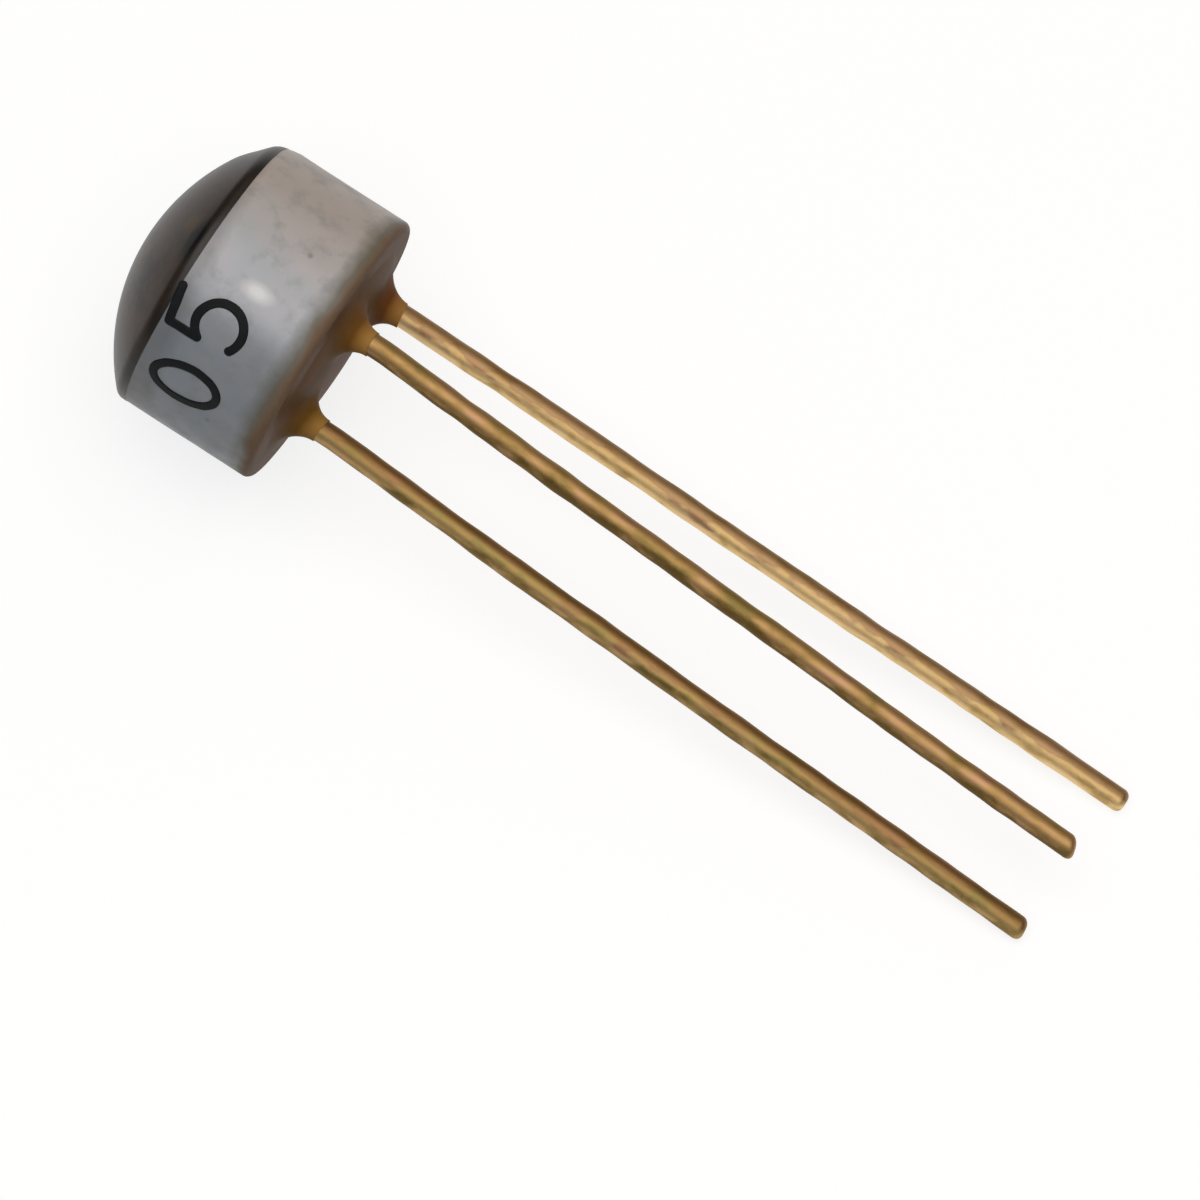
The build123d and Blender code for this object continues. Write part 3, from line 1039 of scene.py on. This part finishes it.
for name, digit in digits.items():
    ink_mesh = bmesh.new()
    spots = {}
    for i in range(-ink_columns, ink_columns):
        for j in range(-ink_rows, ink_rows):
            middle = Vector(((i + 0.5) * ink_cell, (j + 0.5) * ink_cell))
            if (middle - nearest_on(digit["line"], middle)).length < half_stroke:
                corners = []
                for key in ((i, j), (i + 1, j), (i + 1, j + 1), (i, j + 1)):
                    if key not in spots:
                        spots[key] = ink_mesh.verts.new((key[0] * ink_cell, key[1] * ink_cell, 0))
                    corners.append(spots[key])
                ink_mesh.faces.new(corners)
    for vertex in ink_mesh.verts:
        spot = vertex.co.xy
        point = nearest_on(digit["line"], spot)
        ragged = 1 + edge_raggedness * noise.noise(Vector((spot.x, spot.y, 0)) * per(0.18))
        if vertex.is_boundary:
            spot = point + (spot - point).normalized() * half_stroke * ragged
        depth = 1 - (spot - point).length / (half_stroke * ragged)
        uneven = 0.8 + 0.2 * noise.noise(Vector((spot.x, spot.y, 1)) * per(0.15))
        vertex.co = (spot.x, spot.y, ink_thickness * uneven * clamped(depth * 4) ** 0.5)
    soaked = bmesh.ops.extrude_face_region(ink_mesh, geom=list(ink_mesh.faces))
    for part in soaked["geom"]:
        if isinstance(part, bmesh.types.BMVert):
            part.co.z = -ink_soak
    for vertex in ink_mesh.verts:
        across = vertex.co.x * math.cos(print_skew) - vertex.co.y * math.sin(print_skew)
        along = digit["height"] + vertex.co.x * math.sin(print_skew) + vertex.co.y * math.cos(print_skew)
        angle = digit["angle"] + math.asin(across / body_radius)
        out = body_radius + vertex.co.z
        vertex.co = (out * math.cos(angle), out * math.sin(angle), along)
    add_piece(name, ink_mesh, ink)

# Table, light and camera
# A white table, which the camera and the reflections see as plain white apart from the shadow.

table_half_width = 1.5
card_grey = 0.25
card_glow = 0.80
table_mesh = bmesh.new()
bmesh.ops.create_grid(table_mesh, x_segments=1, y_segments=1, size=table_half_width)
table_data = bpy.data.meshes.new("table")
table_mesh.to_mesh(table_data)
table_mesh.free()
table = bpy.data.objects.new("table", table_data)
bpy.context.scene.collection.objects.link(table)
# Its grey takes the shadow, and its own glow lifts the rest to the plain white of the background
white_card, tree, place = new_material("white_card")
rays = add_node(tree, "LightPath")
seen = add_node(
    tree, "Math", {0: rays.outputs["Is Camera Ray"], 1: rays.outputs["Is Glossy Ray"]}, operation="MAXIMUM"
)
seen = add_node(
    tree, "Math", {0: seen.outputs["Value"], 1: rays.outputs["Is Transmission Ray"]}, operation="MAXIMUM"
)
lift = add_node(tree, "Math", {0: seen.outputs["Value"], 1: card_glow}, operation="MULTIPLY")
card = add_node(tree, "BsdfDiffuse", {"Color": (card_grey, card_grey, card_grey, 1)})
backing = add_node(tree, "Emission", {"Color": (1, 1, 1, 1), "Strength": lift.outputs["Value"]})
both = add_node(tree, "AddShader")
tree.links.new(card.outputs["BSDF"], both.inputs[0])
tree.links.new(backing.outputs["Emission"], both.inputs[1])
add_node(tree, "OutputMaterial", {"Surface": both.outputs["Shader"]})
table_data.materials.append(white_card)

world = bpy.data.worlds.new("studio")
bpy.context.scene.world = world
world.use_nodes = True
world.node_tree.nodes.clear()
sky = add_node(world.node_tree, "Background", {"Color": colour("f2f6ff"), "Strength": 0.11})
add_node(world.node_tree, "OutputWorld", {"Surface": sky.outputs["Background"]})


def add_lamp(name, azimuth, elevation, distance, size, power, code):
    """A soft square lamp that faces the part. Azimuth 0 is in front, on the -Y side."""
    az, el = math.radians(azimuth), math.radians(elevation)
    toward = Vector((math.cos(el) * math.sin(az), -math.cos(el) * math.cos(az), math.sin(el)))
    data = bpy.data.lights.new(name, "AREA")
    data.shape = "SQUARE"
    data.size = size
    data.energy = power
    data.color = colour(code)[:3]
    lamp = bpy.data.objects.new(name, data)
    bpy.context.scene.collection.objects.link(lamp)
    lamp.location = toward * distance
    lamp.rotation_euler = toward.to_track_quat("Z", "Y").to_euler()


add_lamp("overhead_softbox", 31, 80, 0.30, 0.33, 0.80, "fffcf8")
add_lamp("warm_back_light", 180, 45, 0.35, 0.25, 0.13, "ffe6cc")
add_lamp("cool_front_light", 10, 32, 0.35, 0.20, 0.06, "d8e6ff")

view_azimuth = math.radians(26.18)
view_elevation = math.radians(65.08)
view_roll = math.radians(5.73)
view_distance = 150 * MM
focal_pixels = 9004.4
picture_width = 1200
sensor_width = 36
aim_down_body = 5.93 * MM
aim_left = 0.382 * MM
aim_low = 0.959 * MM
toward_camera = Vector(
    (
        math.cos(view_elevation) * math.sin(view_azimuth),
        -math.cos(view_elevation) * math.cos(view_azimuth),
        math.sin(view_elevation),
    )
)
level = Vector((math.cos(view_azimuth), math.sin(view_azimuth), 0))
upright = toward_camera.cross(level)
right = level * math.cos(view_roll) + upright * math.sin(view_roll)
up = upright * math.cos(view_roll) - level * math.sin(view_roll)
aim = body.translation - to_dome * aim_down_body - level * aim_left - upright * aim_low
camera_data = bpy.data.cameras.new("camera")
camera_data.sensor_width = sensor_width
camera_data.lens = sensor_width * focal_pixels / picture_width
camera_data.clip_start = 1 * MM
camera_data.clip_end = 10
camera = bpy.data.objects.new("camera", camera_data)
bpy.context.scene.collection.objects.link(camera)
camera.matrix_world = Matrix((right, up, toward_camera)).transposed().to_4x4()
camera.location = aim + toward_camera * view_distance
bpy.context.scene.camera = camera
bpy.context.scene.view_settings.view_transform = "Standard"
